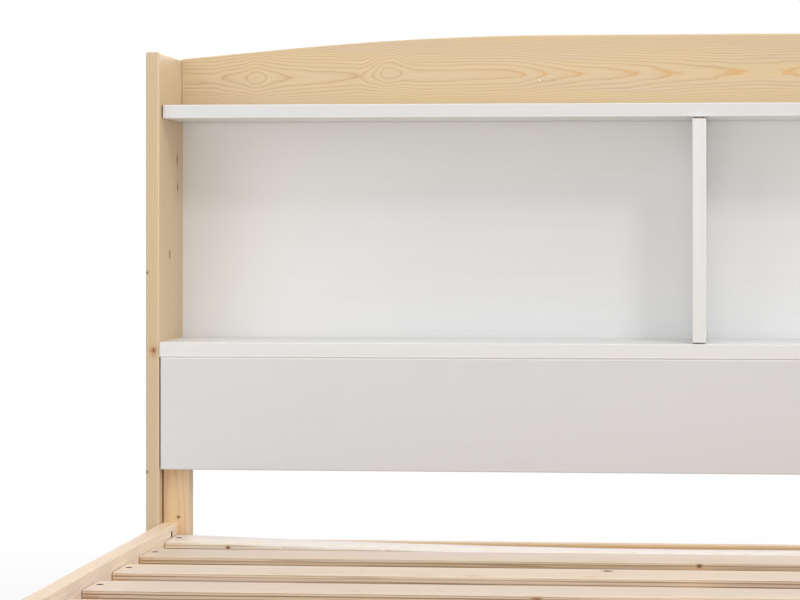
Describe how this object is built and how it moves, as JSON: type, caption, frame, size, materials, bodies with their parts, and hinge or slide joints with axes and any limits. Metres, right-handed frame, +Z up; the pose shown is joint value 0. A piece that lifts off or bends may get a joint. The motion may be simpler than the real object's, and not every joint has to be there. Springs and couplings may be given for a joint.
{
  "type": "storage bed",
  "caption": "Slatted pine bed with a bookcase headboard under an arched crest rail, open shelf compartments, and roll-out drawers on wheels under one side.",
  "frame": {"origin": "on the floor, under the middle of the whole bed", "axes": "+Z up, +Y towards the headboard, +X towards the drawers"},
  "size_m": [1.46, 2.121, 1.0004],
  "materials": {
    "clear_pine": "clear satin lacquer",
    "raw_pine": "sanded, unfinished",
    "white_paint": "satin white paint",
    "drawer_ply": "thin plywood",
    "beech": "fluted dowel",
    "zinc_steel": "zinc plated",
    "black_plastic": "moulded"
  },
  "bodies": {
    "frame": {"back_panel": "white_paint", "barrel_nuts": "zinc_steel", "beam_hangers": "zinc_steel", "bed_bolts": "zinc_steel", "centre_beam": "raw_pine", "centre_divider": "white_paint", "centre_leg_1": "raw_pine", "centre_leg_2": "raw_pine", "centre_leg_3": "raw_pine", "crest_rail": "clear_pine", "dowels": "beech", "floor_glides": "black_plastic", "foot_rail": "raw_pine", "head_cross_rail": "raw_pine", "left_foot_post": "raw_pine", "left_head_post": "raw_pine", "left_side_panel": "clear_pine", "left_side_rail": "raw_pine", "left_slat_cleat": "raw_pine", "lower_front_panel": "white_paint", "middle_shelf": "white_paint", "right_foot_post": "raw_pine", "right_head_post": "raw_pine", "right_side_panel": "clear_pine", "right_side_rail": "raw_pine", "right_slat_cleat": "raw_pine", "slat_01": "raw_pine", "slat_02": "raw_pine", "slat_03": "raw_pine", "slat_04": "raw_pine", "slat_05": "raw_pine", "slat_06": "raw_pine", "slat_07": "raw_pine", "slat_08": "raw_pine", "slat_09": "raw_pine", "slat_10": "raw_pine", "slat_11": "raw_pine", "slat_12": "raw_pine", "slat_13": "raw_pine", "slat_14": "raw_pine", "slat_screws": "zinc_steel", "top_shelf": "white_paint"},
    "head_drawer": {"head_drawer_axles": "zinc_steel", "head_drawer_back": "raw_pine", "head_drawer_bottom": "drawer_ply", "head_drawer_front": "white_paint", "head_drawer_left_side": "raw_pine", "head_drawer_right_side": "raw_pine"},
    "head_drawer_rear_wheels": {"head_drawer_rear_wheels": "black_plastic"},
    "head_drawer_front_wheels": {"head_drawer_front_wheels": "black_plastic"},
    "foot_drawer": {"foot_drawer_axles": "zinc_steel", "foot_drawer_back": "raw_pine", "foot_drawer_bottom": "drawer_ply", "foot_drawer_front": "white_paint", "foot_drawer_left_side": "raw_pine", "foot_drawer_right_side": "raw_pine"},
    "foot_drawer_rear_wheels": {"foot_drawer_rear_wheels": "black_plastic"},
    "foot_drawer_front_wheels": {"foot_drawer_front_wheels": "black_plastic"}
  },
  "joints": [
    {"name": "head_drawer_slide", "type": "slide", "parent": "frame", "child": "head_drawer", "axis": [1, 0, 0], "range_m": [0, 0.5]},
    {"name": "head_drawer_rear_wheels_roll", "type": "hinge", "parent": "head_drawer", "child": "head_drawer_rear_wheels", "pos_m": [0.136, 0.41475, 0.02], "axis": [0, 1, 0], "range_deg": [0, 1440]},
    {"name": "head_drawer_front_wheels_roll", "type": "hinge", "parent": "head_drawer", "child": "head_drawer_front_wheels", "pos_m": [0.632, 0.41475, 0.02], "axis": [0, 1, 0], "range_deg": [0, 1440]},
    {"name": "foot_drawer_slide", "type": "slide", "parent": "frame", "child": "foot_drawer", "axis": [1, 0, 0], "range_m": [0, 0.5]},
    {"name": "foot_drawer_rear_wheels_roll", "type": "hinge", "parent": "foot_drawer", "child": "foot_drawer_rear_wheels", "pos_m": [0.136, -0.54075, 0.02], "axis": [0, 1, 0], "range_deg": [0, 1440]},
    {"name": "foot_drawer_front_wheels_roll", "type": "hinge", "parent": "foot_drawer", "child": "foot_drawer_front_wheels", "pos_m": [0.632, -0.54075, 0.02], "axis": [0, 1, 0], "range_deg": [0, 1440]}
  ],
  "couplings": [
    {"joint": "head_drawer_rear_wheels_roll", "follows": "head_drawer_slide", "rad_per_m": 50},
    {"joint": "head_drawer_front_wheels_roll", "follows": "head_drawer_slide", "rad_per_m": 50},
    {"joint": "foot_drawer_rear_wheels_roll", "follows": "foot_drawer_slide", "rad_per_m": 50},
    {"joint": "foot_drawer_front_wheels_roll", "follows": "foot_drawer_slide", "rad_per_m": 50}
  ]
}
